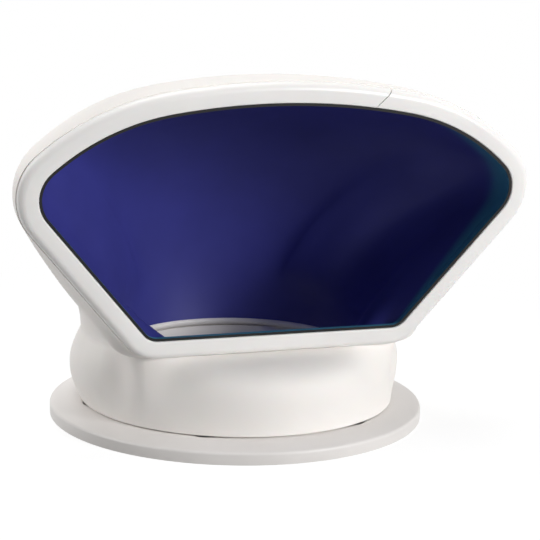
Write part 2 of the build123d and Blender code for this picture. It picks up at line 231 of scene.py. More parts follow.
class NeckSizes(bpy.types.PropertyGroup):
    """Skirt and hood of the cowl's skin"""

    wall: length("Wall", "Thickness of the skin", 3.0)
    foot_radius: length("Foot", "Radius of the skirt's foot", 69.3)
    foot_height: length("Foot height", "Height of the skirt's foot", 7.5)
    foot_round: length("Foot round", "Rounding of the skirt's lower edge", 0.25)
    bulge: length("Bulge", "Bulge of the skirt at its sides and back", 4.7)
    waist_radius: length("Waist", "Radius of the waist", 69.0)
    waist_height: length("Waist height", "Height of the waist", 37.6)
    front: length("Hood front", "Distance of the hood's root in front of the axis", 43.0)
    corner: length("Hood corner", "Corner radius of the hood's root", 8.0)
    slope: turn("Hood slope", "Slope of the sides of the hood's root", -18.0)
    rise: length("Rise", "Length of the hood's first handle, upwards", 0.5)
    run: length("Run", "Length of the hood's last handle, backwards", 1.5)
    panel: length("Panel", "Distance of the panel's top edge in front of the axis", 49.5)
    panel_curve: number("Panel curve", "How late the front panel leans back", 6.0)
    panel_start: turn("Panel start", "Angle at which the panel starts to end", 25.0)
    panel_end: turn("Panel end", "Angle at which the panel has ended", 50.0)
    crispness: number("Crispness", "Crispness of the panel's top corners", 9.0)
    ridge: turn("Ridge", "Angle of the ridges beside the panel", 51.0)
    ridge_spread: turn("Ridge spread", "Spread of a ridge", 9.0)
    ridge_height: length("Ridge height", "Height of a ridge", 4.5)
    ridge_curve: number("Ridge curve", "How late a ridge rises", 1.3)
    valley: turn("Valley", "Angle of the valleys behind the ridges", 63.0)
    valley_spread: turn("Valley spread", "Spread of a valley", 7.0)
    valley_depth: length("Valley depth", "Depth of a valley", 2.0)
    valley_curve: number("Valley curve", "How high up a valley is deepest", 1.5)
    bulge_start: turn("Bulge start", "Angle at which the bulge starts", 54.0)
    bulge_end: turn("Bulge end", "Angle at which the bulge is full", 84.0)
    grip_radius: length("Grip radius", "Inner radius of the flange that the clamp ring holds", 59.35)
    grip_bottom: length("Grip bottom", "Height of that flange's underside", 23.8)
    grip_top: length("Grip top", "Height of that flange's upper side", 26.8)


class LinerSizes(bpy.types.PropertyGroup):
    """Funnel inside the mouth"""

    throat: length("Throat", "Radius of the throat", 51.3)
    wall: length("Wall", "Thickness of the liner", 1.6)
    recess: length("Recess", "Distance of the liner behind the edging's inner edge", 1.0)
    back: length("Back", "Length of the first handle, backwards", 8.0)
    rise: length("Rise", "Height of the first handle", 3.0)
    run: length("Run", "Length of the last handle, backwards", 6.5)
    lip: length("Lip", "Thickness of the lip inside the edging", 1.2)
    lip_depth: length("Lip depth", "Depth of the lip's edge behind the edging's face", 0.6)
    edge_gap: length("Edge gap", "Gap between the lip and the edging", 0.1)
    fold: length("Fold", "Height of the fold in each wing", 4.5)


class RimSizes(bpy.types.PropertyGroup):
    """Edging round the mouth"""

    width: length("Width", "Width of the edging", 8.0)
    depth: length("Depth", "Depth of the edging", 3.6)
    outer_round: length("Outer round", "Rounding of the outer edge", 3.2)
    inner_round: length("Inner round", "Rounding of the inner edge", 0.6)
    back_round: length("Back round", "Rounding of the edges behind", 0.2)
    proud: length("Proud", "How far the skin stands out beyond the edging", 0.4)
    joint: length("Joint", "Width of the butt joint", 0.3)
    joint_place: length("Joint place", "Place of the joint beside the middle", 36.0)
    joint_turn: turn("Joint turn", "Slant of the joint", -45.0)


class ScreenSizes(bpy.types.PropertyGroup):
    """Woven wire of the insect screen"""

    wire: length("Wire", "Diameter of the screen's wire", 0.32)
    pitch: length("Pitch", "Distance between two wires", 1.8)


class ScrewSizes(bpy.types.PropertyGroup):
    """Screws of the clamp ring"""

    circle: length("Circle", "Radius that the screws stand on", 61.55)
    shank: length("Shank", "Radius of the shank", 1.4)
    head: length("Head", "Radius of the head", 1.9)
    head_height: length("Head height", "Height of the head", 1.5)
    socket: length("Socket", "Radius of the hexagonal socket", 1.0)
    socket_depth: length("Socket depth", "Depth of the socket", 0.8)
    count: bpy.props.IntProperty(name="Count", description="Number of screws", default=6, min=1)


class FinishColours(bpy.types.PropertyGroup):
    """Colours of the finishes"""

    shell: colour("Shell", "White of the cowl's skin", "F5F1ED")
    liner: colour("Liner", "Blue inside the mouth", "383A88")
    # Painted sheen: this teal stands in for light caught along the liner's edge
    painted_liner_sheen: colour("Painted liner sheen", "Teal band along the liner's edge", "3F7F9C")
    # Painted shade: this black stands in for the shadow in the gap between the liner's lip and the edging
    painted_gap_shade: colour("Painted gap shade", "Black painted on the liner's edge as the shade of its gap", "060608")
    rim: colour("Rim", "White of the edging", "F1EFED")
    deck: colour("Deck ring", "White of the deck ring", "E9E5E2")
    acetal: colour("Acetal", "Cream of the turned rings", "EDEBE0")
    foam: colour("Foam", "Black of the deck gasket", "1C1C1E")
    rubber: colour("Rubber", "Black of the friction ring", "101010")
    spring: colour("Spring", "Steel of the spring rings", "C2C2C0")
    sheet: colour("Sheet", "Steel of the clamp ring", "C8C8C6")
    mesh: colour("Mesh", "Steel of the insect screen", "B8B8B6")
    screws: colour("Screws", "Steel of the clamp screws", "C9C9C7")


class StageSettings(bpy.types.PropertyGroup):
    """Camera, floor and lamps"""

    camera_turn: turn("Camera turn", "Turn of the camera about the object", -20.36)
    camera_rise: turn("Camera rise", "How far the camera looks down", 10.71)
    camera_roll: turn("Camera roll", "Roll of the camera about its own axis", 1.42)
    lens: bpy.props.FloatProperty(
        name="Lens", description="Focal length on a 36 mm sensor", default=97.87, unit="CAMERA"
    )
    key_power: power("Key", "Power of the key lamp", 12.4)
    left_power: power("Left", "Power of the lamp at the left", 8.0)
    right_power: power("Right", "Power of the lamp at the right", 0.4)
    top_power: power("Top", "Power of the lamp overhead", 9.0)
    sky: number("Sky", "Strength of the even light all round", 0.115)
    shadow: number("Shadow", "How deep the floor's shadow is", 0.25)


def add_node(tree, kind, inputs=None, **settings):
    """Adds a node with its settings. An input takes a value, a socket, a node or a list of them."""
    node = tree.nodes.new(kind)
    for name, value in settings.items():
        setattr(node, name, value)
    for name, value in (inputs or {}).items():
        for source in value if isinstance(value, list) else [value]:
            if isinstance(source, bpy.types.Node):
                source = next(socket for socket in source.outputs if socket.enabled)
            if isinstance(source, bpy.types.NodeSocket):
                tree.links.new(source, node.inputs[name])
            else:
                node.inputs[name].default_value = source
    return node


def new_material(name):
    """Empty node material, and its tree."""
    material = bpy.data.materials.new(name)
    material.use_nodes = True
    material.node_tree.nodes.clear()
    return material, material.node_tree


def grained(tree, size, height, detail):
    """Where a point lies on its piece, a fine noise there, and the bump that the noise makes."""
    # The real grain, mostly under 0.1 mm, is too fine to show, so each finish gives a coarser one.
    place = add_node(tree, "ShaderNodeTexCoord").outputs["Object"]
    noise = add_node(tree, "ShaderNodeTexNoise", {"Vector": place, "Scale": 1 / size, "Detail": detail})
    bump = add_node(tree, "ShaderNodeBump", {"Height": noise, "Distance": height, "Strength": 1.0})
    return place, noise, bump


def moulded(name, base, roughness, grain, grain_height, unevenness, subsurface=0.0):
    """Moulded plastic: a fine grain, and slow patches that are a little duller or darker."""
    material, tree = new_material(name)
    place, _, bump = grained(tree, grain, grain_height, 3.0)
    slow = add_node(tree, "ShaderNodeTexNoise", {"Vector": place, "Scale": 1 / PLASTIC_PATCH, "Detail": 2.0})
    reach = {"Value": slow, "From Min": NOISE_LOW, "From Max": NOISE_HIGH}
    dull = add_node(
        tree,
        "ShaderNodeMapRange",
        {**reach, "To Min": roughness - unevenness, "To Max": roughness + unevenness},
    )
    tone = add_node(tree, "ShaderNodeMapRange", {**reach, "To Min": PLASTIC_TONE, "To Max": 1.0})
    shade = add_node(
        tree,
        "ShaderNodeMix",
        {"Factor": 1.0, "A": (*base, 1.0), "B": tone},
        data_type="RGBA",
        blend_type="MULTIPLY",
    )
    skin = add_node(
        tree,
        "ShaderNodeBsdfPrincipled",
        {
            "Base Color": shade,
            "Roughness": dull,
            "Normal": bump,
            "IOR": 1.5,
            "Subsurface Weight": subsurface,
            "Subsurface Scale": SCATTER,
        },
    )
    add_node(tree, "ShaderNodeOutputMaterial", {"Surface": skin})
    return material


def lining(name, colours, grain, grain_height):
    """Matt deep blue vinyl with painted sheen in teal along its edge, and painted shade in black where it
    meets the edging.
    """
    material, tree = new_material(name)
    place, _, bump = grained(tree, grain, grain_height, 3.0)
    slow = add_node(tree, "ShaderNodeTexNoise", {"Vector": place, "Scale": 1 / LINER_PATCH, "Detail": 4.0})
    tone = add_node(
        tree,
        "ShaderNodeMapRange",
        {"Value": slow, "From Min": NOISE_LOW, "From Max": NOISE_HIGH, "To Min": LINER_TONE, "To Max": 1.0},
    )
    shade = add_node(
        tree,
        "ShaderNodeMix",
        {"Factor": 1.0, "A": (*colours.liner, 1.0), "B": tone},
        data_type="RGBA",
        blend_type="MULTIPLY",
    )
    # Painted sheen in teal and painted shade in black, each laid over the blue where its attribute says
    for label, edge in (("band", colours.painted_liner_sheen), ("cut", colours.painted_gap_shade)):
        share = add_node(tree, "ShaderNodeAttribute", attribute_name=label).outputs["Fac"]
        shade = add_node(
            tree, "ShaderNodeMix", {"Factor": share, "A": shade, "B": (*edge, 1.0)}, data_type="RGBA"
        )
    skin = add_node(
        tree,
        "ShaderNodeBsdfPrincipled",
        {
            "Base Color": shade,
            "Roughness": 0.5,
            "Normal": bump,
            "IOR": 1.5,
            "Specular IOR Level": 0.3,
        },
    )
    add_node(tree, "ShaderNodeOutputMaterial", {"Surface": skin})
    return material


def metal(name, base, roughness, grain):
    """Stainless steel with a fine drawn or punched grain."""
    material, tree = new_material(name)
    _, fine, bump = grained(tree, grain, METAL_GRAIN, 2.0)
    dull = add_node(
        tree,
        "ShaderNodeMapRange",
        {
            "Value": fine,
            "To Min": roughness * (1 - METAL_SPREAD),
            "To Max": roughness * (1 + METAL_SPREAD),
        },
    )
    skin = add_node(
        tree,
        "ShaderNodeBsdfPrincipled",
        {"Base Color": (*base, 1.0), "Metallic": 1.0, "Roughness": dull, "Normal": bump},
    )
    add_node(tree, "ShaderNodeOutputMaterial", {"Surface": skin})
    return material


def mix(start, end, share):
    """Value a share of the way from start to end."""
    return start + (end - start) * share


def step(value, start, end):
    """Share that grows gently from 0 at start to 1 at end."""
    share = min(max((value - start) / (end - start), 0), 1)
    return share * share * (3 - 2 * share)


def hump(value, middle, spread):
    """Smooth hump of height 1 about a middle."""
    return exp(-(((value - middle) / spread) ** 2))


def bezier(points, share):
    """Point on the cubic curve of four control points."""
    rest = 1 - share
    weights = (rest**3, 3 * rest**2 * share, 3 * rest * share**2, share**3)
    return sum((point * weight for point, weight in zip(points, weights)), Vector((0, 0, 0)))


def direction(angle):
    """Unit vector at an angle from a section's x axis."""
    return Vector((cos(angle), sin(angle)))


def arc(centre, radius, start, end, count):
    """Points along an arc, without its last one."""
    return [centre + direction(mix(start, end, place / count)) * radius for place in range(count)]


def section_points(mouth, arch, shoulder, tip, corner, top, bottom, slant):
    """Points round a section of the cowl, from the middle of its flat front."""
    arch_end = pi / 2 - asin(mouth.arch_half / mouth.arch)
    shoulder_end = pi / 2 - mouth.shoulder_slope
    arch_centre = Vector((0, top - arch))
    shoulder_centre = arch_centre + direction(arch_end) * (arch - shoulder)
    tip_centre = shoulder_centre + direction(shoulder_end) * (shoulder - tip)
    facing = direction(slant)
    corner_rise = corner - bottom
    corner_side = tip_centre.x + (tip - corner - (corner_rise - tip_centre.y) * facing.y) / facing.x
    corner_centre = Vector((corner_side, corner_rise))
    lower, upper = corner_centre + facing * corner, tip_centre + facing * tip
    right = [Vector((corner_side * place / FRONT_POINTS, -bottom)) for place in range(FRONT_POINTS)]
    right += arc(corner_centre, corner, -pi / 2, slant, CORNER_POINTS)
    right += [lower.lerp(upper, place / SIDE_POINTS) for place in range(SIDE_POINTS)]
    right += arc(tip_centre, tip, slant, shoulder_end, TIP_POINTS)
    right += arc(shoulder_centre, shoulder, shoulder_end, arch_end, SHOULDER_POINTS)
    right += arc(arch_centre, arch, arch_end, pi / 2, CROWN_POINTS)
    right.append(Vector((0, top)))
    return right + [Vector((-point.x, point.y)) for point in reversed(right[1:-1])]


def mouth_section(mouth, grow):
    """Points round the mouth, grown outwards."""
    half = mouth.height / 2
    return section_points(
        mouth,
        mouth.arch + grow,
        mouth.shoulder + grow,
        mouth.tip + grow,
        mouth.corner + grow,
        half + grow,
        half + grow,
        mouth.slant - pi / 2,
    )


def up_at(angle):
    """Upward direction within a section that has swung up by an angle."""
    return Vector((0, cos(angle), sin(angle)))


def lip_point(mouth, depth, grow):
    """Lowest point of the mouth at a depth behind the edging's face, grown outwards."""
    angle = pi / 2 + mouth.lean
    back = Vector((0, sin(angle), -cos(angle)))
    return Vector((0, -mouth.front, mouth.bottom)) + back * depth - up_at(angle) * grow


def mouth_ring(mouth, depth, grow):
    """Ring of points in space round the mouth."""
    up = up_at(pi / 2 + mouth.lean)
    middle = lip_point(mouth, depth, 0) + up * mouth.height / 2
    return [middle + up * point.y + Vector((point.x, 0, 0)) for point in mouth_section(mouth, grow)]


def hood_ring(mouth, root, way, grow, inset, share):
    """Ring of a hood at a share of its way from its root to the mouth, set in by a wall."""
    radius, front, corner, slant = root
    half = mouth.height / 2
    blend = mix(FIRST_BLEND, 1, step(share, 0, 1))
    up = up_at((pi / 2 + mouth.lean) * share)
    middle = bezier(way, share) + up * mix(front, half + grow, blend)
    points = section_points(
        mouth,
        mix(radius, mouth.arch + grow, blend) - inset,
        mix(radius, mouth.shoulder + grow, blend) - inset,
        mix(radius, mouth.tip + grow, blend) - inset,
        mix(corner - inset * corner / radius, mouth.corner + grow - inset, blend),
        mix(radius, half + grow, blend) - inset,
        mix(front, half + grow, blend) - inset,
        mix(slant, mouth.slant - pi / 2, blend),
    )
    return [middle + up * point.y + Vector((point.x, 0, 0)) for point in points]


def hood_rings(mouth, root, way, grow, inset, top):
    """Rings of the hood, the first of which fade out of the skirt's top ring."""
    base = hood_ring(mouth, root, way, grow, inset, 0)
    rings = []
    for row in range(1, HOOD_RINGS + 1):
        share = row / HOOD_RINGS
        fade = (1 - share) ** 2
        ring = hood_ring(mouth, root, way, grow, inset, share)
        rings.append([point + (high - low) * fade for point, high, low in zip(ring, top, base)])
    return rings


def folded(ring, rise):
    """Ring of the liner with the folds of both wings standing in by a rise."""
    middle = sum(ring, Vector((0, 0, 0))) / len(ring)
    made = []
    for place, point in enumerate(ring):
        away = min(place, len(ring) - place) - FOLD_PLACE
        spread = FOLD_BELOW if away < 0 else FOLD_ABOVE
        made.append(point + (middle - point).normalized() * rise * hump(away, 0, spread))
    return made


def skirt_ring(neck, share, angles, inset, lift=0.0):
    """Ring of the skirt at a share of its height, set in by a wall."""
    ring = []
    for angle in angles:
        away = abs(angle)
        lean = share ** mix(neck.panel_curve, neck.ridge_curve, step(away, neck.panel_start, neck.panel_end))
        ridge = neck.waist_radius + neck.ridge_height * hump(away, neck.ridge, neck.ridge_spread) - inset
        flat = max(cos(away), 0) / (neck.panel - inset)
        top = (flat**neck.crispness + ridge**-neck.crispness) ** (-1 / neck.crispness)
        radius = mix(neck.foot_radius - inset, top, lean)
        radius += neck.bulge * step(away, neck.bulge_start, neck.bulge_end) * sin(pi * share)
        valley = neck.valley_depth * hump(away, neck.valley, neck.valley_spread)
        radius -= valley * sin(pi * share**neck.valley_curve)
        height = mix(neck.foot_height, neck.waist_height, share) + lift
        ring.append(Vector((radius * sin(angle), -radius * cos(angle), height)))
    return ring


def closed_skin(name, rings, material, **values):
    """Closed mesh through rings that lead over an edge and back, with values that each ring holds."""
    count, around = len(rings), len(rings[0])
    faces = [
        (
            row * around + place,
            row * around + (place + 1) % around,
            (row + 1) % count * around + (place + 1) % around,
            (row + 1) % count * around + place,
        )
        for row in range(count)
        for place in range(around)
    ]
    mesh = bpy.data.meshes.new(name)
    mesh.from_pydata([point for ring in rings for point in ring], [], faces)
    mesh.materials.append(material)
    mesh.shade_smooth()
    mesh.set_sharp_from_angle(angle=CRISP)
    for label, shares in values.items():
        attribute = mesh.attributes.new(label, "FLOAT", "POINT")
        attribute.data.foreach_set("value", [share for share in shares for _ in range(around)])
    return mesh


def new_piece(name, mesh, body, node):
    """Piece that rides on a body and stands for a CAD node."""
    piece = bpy.data.objects.new(name, mesh)
    bpy.context.scene.collection.objects.link(piece)
    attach(piece, body)
    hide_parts(node)
    return piece


def smooth_copy(node, body, material):
    """Merged copy of a CAD node's shape with its round faces shaded smooth."""
    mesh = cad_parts[node].data.copy()
    work = bmesh.new()
    work.from_mesh(mesh)
    bmesh.ops.remove_doubles(work, verts=work.verts, dist=MERGE)
    work.to_mesh(mesh)
    work.free()
    mesh.materials.clear()
    mesh.materials.append(material)
    mesh.shade_smooth()
    mesh.set_sharp_from_angle(angle=CRISP)
    return new_piece(node + "_finish", mesh, body, node)


def grown_piece(name, tree_builder, sizes, material, body, node, start=None):
    """Runs a geometry tree on a starting mesh and keeps the result as a plain piece."""
    tree = tree_builder(name + "_tree", material)
    piece = bpy.data.objects.new(name + "_run", start or bpy.data.meshes.new(name))
    bpy.context.scene.collection.objects.link(piece)
    run = piece.modifiers.new("tree", "NODES")
    run.node_group = tree
    sockets = {item.name: item.identifier for item in tree.interface.items_tree if item.in_out == "INPUT"}
    for label, value in sizes.items():
        run[sockets[label]] = value
    bpy.context.view_layer.update()
    shape = piece.evaluated_get(bpy.context.evaluated_depsgraph_get())
    mesh = bpy.data.meshes.new_from_object(shape)
    bpy.data.objects.remove(piece)
    mesh.shade_smooth()
    mesh.set_sharp_from_angle(angle=CRISP)
    return new_piece(name, mesh, body, node)


def new_tree(name, labels):
    """Geometry tree with a starting mesh and named number inputs, and the outputs of its input node."""
    tree = bpy.data.node_groups.new(name, "GeometryNodeTree")
    tree.interface.new_socket("Geometry", in_out="OUTPUT", socket_type="NodeSocketGeometry")
    tree.interface.new_socket("Start", in_out="INPUT", socket_type="NodeSocketGeometry")
    for label in labels:
        tree.interface.new_socket(label, in_out="INPUT", socket_type="NodeSocketFloat")
    return tree, add_node(tree, "NodeGroupInput").outputs


def end_tree(tree, geometry, material):
    """Ends a tree in Realize Instances and Set Material."""
    whole = add_node(tree, "GeometryNodeRealizeInstances", {"Geometry": geometry})
    painted = add_node(tree, "GeometryNodeSetMaterial", {"Geometry": whole, "Material": material})
    add_node(tree, "NodeGroupOutput", {"Geometry": painted})
    return tree


def woven_tree(name, material):
    """Plain weave of round wires, cut to a disc."""
    tree, given = new_tree(name, ("Radius", "Wire", "Pitch", "Height"))
    across = add_node(tree, "ShaderNodeMath", {0: given["Radius"], 1: 2.0}, operation="MULTIPLY")
    fitting = add_node(tree, "ShaderNodeMath", {0: across, 1: given["Pitch"]}, operation="DIVIDE")
    spaces = add_node(tree, "ShaderNodeMath", {0: fitting}, operation="FLOOR")
    count = add_node(tree, "ShaderNodeMath", {0: spaces, 1: 1.0}, operation="ADD")
    width = add_node(tree, "ShaderNodeMath", {0: spaces, 1: given["Pitch"]}, operation="MULTIPLY")
    radius = add_node(tree, "ShaderNodeMath", {0: given["Wire"], 1: 0.5}, operation="MULTIPLY")
    profile = add_node(
        tree, "GeometryNodeCurvePrimitiveCircle", {"Resolution": WIRE_SIDES, "Radius": radius}
    )
    wires = []
    for along, side in (("X", 1.0), ("Y", -1.0)):
        sheet = add_node(
            tree,
            "GeometryNodeMeshGrid",
            {"Size X": width, "Size Y": width, "Vertices X": count, "Vertices Y": count},
        )
        # Only the edges that run along one axis stay
        ends = add_node(tree, "GeometryNodeInputMeshEdgeVertices").outputs
        span = add_node(
            tree,
            "ShaderNodeVectorMath",
            {0: ends["Position 1"], 1: ends["Position 2"]},
            operation="SUBTRACT",
        )
        reach = add_node(tree, "ShaderNodeSeparateXYZ", {0: span}).outputs[along]
        extent = add_node(tree, "ShaderNodeMath", {0: reach}, operation="ABSOLUTE")
        crossing = add_node(tree, "ShaderNodeMath", {0: extent, 1: NO_LENGTH}, operation="LESS_THAN")
        lines = add_node(
            tree,
            "GeometryNodeDeleteGeometry",
            {"Geometry": sheet, "Selection": crossing},
            domain="EDGE",
            mode="EDGE_FACE",
        )
        place = add_node(tree, "GeometryNodeInputPosition")
        distance = add_node(tree, "ShaderNodeVectorMath", {0: place}, operation="LENGTH")
        outside = add_node(
            tree, "ShaderNodeMath", {0: distance, 1: given["Radius"]}, operation="GREATER_THAN"
        )
        disc = add_node(
            tree, "GeometryNodeDeleteGeometry", {"Geometry": lines, "Selection": outside}, domain="POINT"
        )
        # Each wire goes over and under the ones that it crosses in turn
        spot = add_node(tree, "ShaderNodeSeparateXYZ", {0: place}).outputs
        way = add_node(tree, "ShaderNodeMath", {0: spot["X"], 1: spot["Y"]}, operation="ADD")
        steps = add_node(tree, "ShaderNodeMath", {0: way, 1: given["Pitch"]}, operation="DIVIDE")
        phase = add_node(tree, "ShaderNodeMath", {0: steps, 1: pi}, operation="MULTIPLY")
        wave = add_node(tree, "ShaderNodeMath", {0: phase}, operation="COSINE")
        swing = add_node(tree, "ShaderNodeMath", {0: radius, 1: side}, operation="MULTIPLY")
        bend = add_node(tree, "ShaderNodeMath", {0: swing, 1: wave}, operation="MULTIPLY")
        height = add_node(tree, "ShaderNodeMath", {0: bend, 1: given["Height"]}, operation="ADD")
        lift = add_node(tree, "ShaderNodeCombineXYZ", {"Z": height})
        raised = add_node(tree, "GeometryNodeSetPosition", {"Geometry": disc, "Offset": lift})
        curves = add_node(tree, "GeometryNodeMeshToCurve", {"Mesh": raised})
        wires.append(
            add_node(
                tree,
                "GeometryNodeCurveToMesh",
                {"Curve": curves, "Profile Curve": profile, "Fill Caps": True},
            )
        )
    cloth = add_node(tree, "GeometryNodeJoinGeometry", {"Geometry": wires})
    return end_tree(tree, cloth, material)


def edging_tree(name, material):
    """Rounded strip swept along the mouth's outline, cut by a slanting butt joint and leant over."""
    labels = (
        "Width",
        "Depth",
        "Outer round",
        "Inner round",
        "Back round",
        "Joint",
        "Joint place",
        "Joint height",
        "Joint turn",
        "Lean",
        "Middle front",
        "Middle height",
    )
    tree, given = new_tree(name, labels)
    path = add_node(tree, "GeometryNodeMeshToCurve", {"Mesh": given["Start"]})
    facing = add_node(tree, "GeometryNodeSetCurveNormal", {"Curve": path}, mode="Z_UP")
    strip = add_node(
        tree,
        "GeometryNodeCurvePrimitiveQuadrilateral",
        {"Width": given["Width"], "Height": given["Depth"]},
        mode="RECTANGLE",
    )
    corner = add_node(tree, "GeometryNodeInputIndex")
    rounds = given["Back round"]
    for label, place in (("Outer round", OUTER_CORNER), ("Inner round", INNER_CORNER)):
        chosen = add_node(tree, "ShaderNodeMath", {0: corner, 1: place}, operation="COMPARE")
        more = add_node(
            tree, "ShaderNodeMath", {0: given[label], 1: given["Back round"]}, operation="SUBTRACT"
        )
        extra = add_node(tree, "ShaderNodeMath", {0: chosen, 1: more}, operation="MULTIPLY")
        rounds = add_node(tree, "ShaderNodeMath", {0: rounds, 1: extra}, operation="ADD")
    rounded = add_node(
        tree,
        "GeometryNodeFilletCurve",
        {"Curve": strip, "Radius": rounds, "Count": EDGING_ROUND_POINTS},
        mode="POLY",
    )
    side = add_node(tree, "ShaderNodeMath", {0: given["Width"], 1: EDGING_SIDE}, operation="MULTIPLY")
    back = add_node(tree, "ShaderNodeMath", {0: given["Depth"], 1: EDGING_BACK}, operation="MULTIPLY")
    aside = add_node(tree, "ShaderNodeCombineXYZ", {"X": side, "Y": back})
    profile = add_node(tree, "GeometryNodeTransform", {"Geometry": rounded, "Translation": aside})
    swept = add_node(tree, "GeometryNodeCurveToMesh", {"Curve": facing, "Profile Curve": profile})
    # Blade that leaves the butt joint's hairline
    reach = add_node(tree, "ShaderNodeMath", {0: given["Width"], 1: BLADE_REACH}, operation="MULTIPLY")
    deep = add_node(tree, "ShaderNodeMath", {0: given["Depth"], 1: BLADE_REACH}, operation="MULTIPLY")
    size = add_node(tree, "ShaderNodeCombineXYZ", {"X": given["Joint"], "Y": reach, "Z": deep})
    blade = add_node(tree, "GeometryNodeMeshCube", {"Size": size})
    spot = add_node(tree, "ShaderNodeCombineXYZ", {"X": given["Joint place"], "Y": given["Joint height"]})
    slant = add_node(tree, "ShaderNodeCombineXYZ", {"Z": given["Joint turn"]})
    set_blade = add_node(
        tree, "GeometryNodeTransform", {"Geometry": blade, "Translation": spot, "Rotation": slant}
    )
    cut = add_node(
        tree,
        "GeometryNodeMeshBoolean",
        {"Mesh 1": swept, "Mesh 2": set_blade},
        operation="DIFFERENCE",
        solver="EXACT",
    )
    middle = add_node(
        tree, "ShaderNodeCombineXYZ", {"Y": given["Middle front"], "Z": given["Middle height"]}
    )
    upright = add_node(tree, "ShaderNodeMath", {0: given["Lean"], 1: pi / 2}, operation="ADD")
    leant = add_node(tree, "ShaderNodeCombineXYZ", {"X": upright})
    placed = add_node(
        tree, "GeometryNodeTransform", {"Geometry": cut, "Translation": middle, "Rotation": leant}
    )
    return end_tree(tree, placed, material)


def screw_tree(name, material):
    """Socket-head screws standing on a circle with their heads down."""
    labels = ("Circle", "Count", "Shank", "Top", "Seat", "Head", "Head height", "Socket", "Socket depth")
    tree, given = new_tree(name, labels)
    # Head, with its socket cut in from below
    head = add_node(
        tree,
        "GeometryNodeMeshCylinder",
        {"Vertices": HEAD_SIDES, "Radius": given["Head"], "Depth": given["Head height"]},
    )
    bore = add_node(tree, "ShaderNodeMath", {0: given["Socket depth"], 1: 2.0}, operation="MULTIPLY")
    socket = add_node(
        tree,
        "GeometryNodeMeshCylinder",
        {"Vertices": SOCKET_SIDES, "Radius": given["Socket"], "Depth": bore},
    )
    half_head = add_node(tree, "ShaderNodeMath", {0: given["Head height"], 1: 0.5}, operation="MULTIPLY")
    under = add_node(tree, "ShaderNodeMath", {0: half_head, 1: -1.0}, operation="MULTIPLY")
    drop = add_node(tree, "ShaderNodeCombineXYZ", {"Z": under})
    recess = add_node(tree, "GeometryNodeTransform", {"Geometry": socket, "Translation": drop})
    cut = add_node(
        tree, "GeometryNodeMeshBoolean", {"Mesh 1": head, "Mesh 2": recess}, operation="DIFFERENCE"
    )
    head_height = add_node(tree, "ShaderNodeMath", {0: given["Seat"], 1: half_head}, operation="SUBTRACT")
    head_place = add_node(tree, "ShaderNodeCombineXYZ", {"Z": head_height})
    seated = add_node(tree, "GeometryNodeTransform", {"Geometry": cut, "Translation": head_place})
    # Shank, from the head's seat up
    long = add_node(tree, "ShaderNodeMath", {0: given["Top"], 1: given["Seat"]}, operation="SUBTRACT")
    shank = add_node(
        tree,
        "GeometryNodeMeshCylinder",
        {"Vertices": SHANK_SIDES, "Radius": given["Shank"], "Depth": long},
    )
    half_shank = add_node(tree, "ShaderNodeMath", {0: long, 1: 0.5}, operation="MULTIPLY")
    shank_height = add_node(tree, "ShaderNodeMath", {0: given["Seat"], 1: half_shank}, operation="ADD")
    shank_place = add_node(tree, "ShaderNodeCombineXYZ", {"Z": shank_height})
    standing = add_node(tree, "GeometryNodeTransform", {"Geometry": shank, "Translation": shank_place})
    screw = add_node(tree, "GeometryNodeJoinGeometry", {"Geometry": [standing, seated]})
    stations = add_node(
        tree, "GeometryNodeMeshCircle", {"Vertices": given["Count"], "Radius": given["Circle"]}
    )
    screws = add_node(tree, "GeometryNodeInstanceOnPoints", {"Points": stations, "Instance": screw})
    return end_tree(tree, screws, material)


class VENT_OT_shell(bpy.types.Operator):
    """Draws the cowl's skin: skirt, hood and the flange inside"""

    bl_idname = "vent.shell"
    bl_label = "Skin"

    def execute(self, context):
        scene = context.scene
        mouth, neck, rim = scene.vent_mouth, scene.vent_neck, scene.vent_rim
        # Flexible PVC, dip-moulded and satin: soft highlights and a very fine leathery grain.
        white = moulded(
            "flexible_pvc_white",
            scene.vent_colours.shell,
            roughness=0.6,
            grain=0.5 * MM,
            grain_height=0.012 * MM,
            unevenness=0.05,
            subsurface=0.05,
        )
        grow = rim.width + rim.proud
        root = (neck.waist_radius, neck.front, neck.corner, neck.slope)
        start = Vector((0, -neck.front, neck.waist_height))
        way = (
            start,
            start + Vector((0, 0, neck.rise)),
            lip_point(mouth, rim.depth + neck.run, grow),
            lip_point(mouth, rim.depth, grow),
        )
        first = hood_ring(mouth, root, way, grow, 0, 0)
        angles = [atan2(point.x, -point.y) for point in first]
        # Outside: the rounding of the foot, the skirt and the hood
        outer = []
        for row in range(FOOT_RINGS):
            bend = pi / 2 * row / FOOT_RINGS
            inset, lift = neck.foot_round * (1 - sin(bend)), neck.foot_round * (1 - cos(bend))
            outer.append(skirt_ring(neck, 0, angles, inset, lift))
        tall = neck.waist_height - neck.foot_height
        shares = [row / SKIRT_RINGS for row in range(SKIRT_RINGS + 1)]
        outer += [skirt_ring(neck, mix(neck.foot_round / tall, 1, share), angles, 0) for share in shares]
        outer += hood_rings(mouth, root, way, grow, 0, outer[-1])
        # Inside: the skirt up to its flange, the flange that the clamp ring holds, and the rest
        grip = (neck.grip_bottom, neck.grip_top)
        low, high = [(height - neck.foot_height) / tall for height in grip]
        below = [*(share for share in shares if share < low), low]
        above = [high, *(share for share in shares if share > high)]
        inner = [skirt_ring(neck, share, angles, neck.wall) for share in below]
        for height in grip:
            edge = [(neck.grip_radius * sin(angle), -neck.grip_radius * cos(angle)) for angle in angles]
            inner.append([Vector((*point, height)) for point in edge])
        inner += [skirt_ring(neck, share, angles, neck.wall) for share in above]
        inner += hood_rings(mouth, root, way, grow, neck.wall, inner[-1])
        mesh = closed_skin("cowl_skin", [*outer, *reversed(inner)], white)
        new_piece("cowl_skin", mesh, "cowl", "cowl_shell")
        return {"FINISHED"}


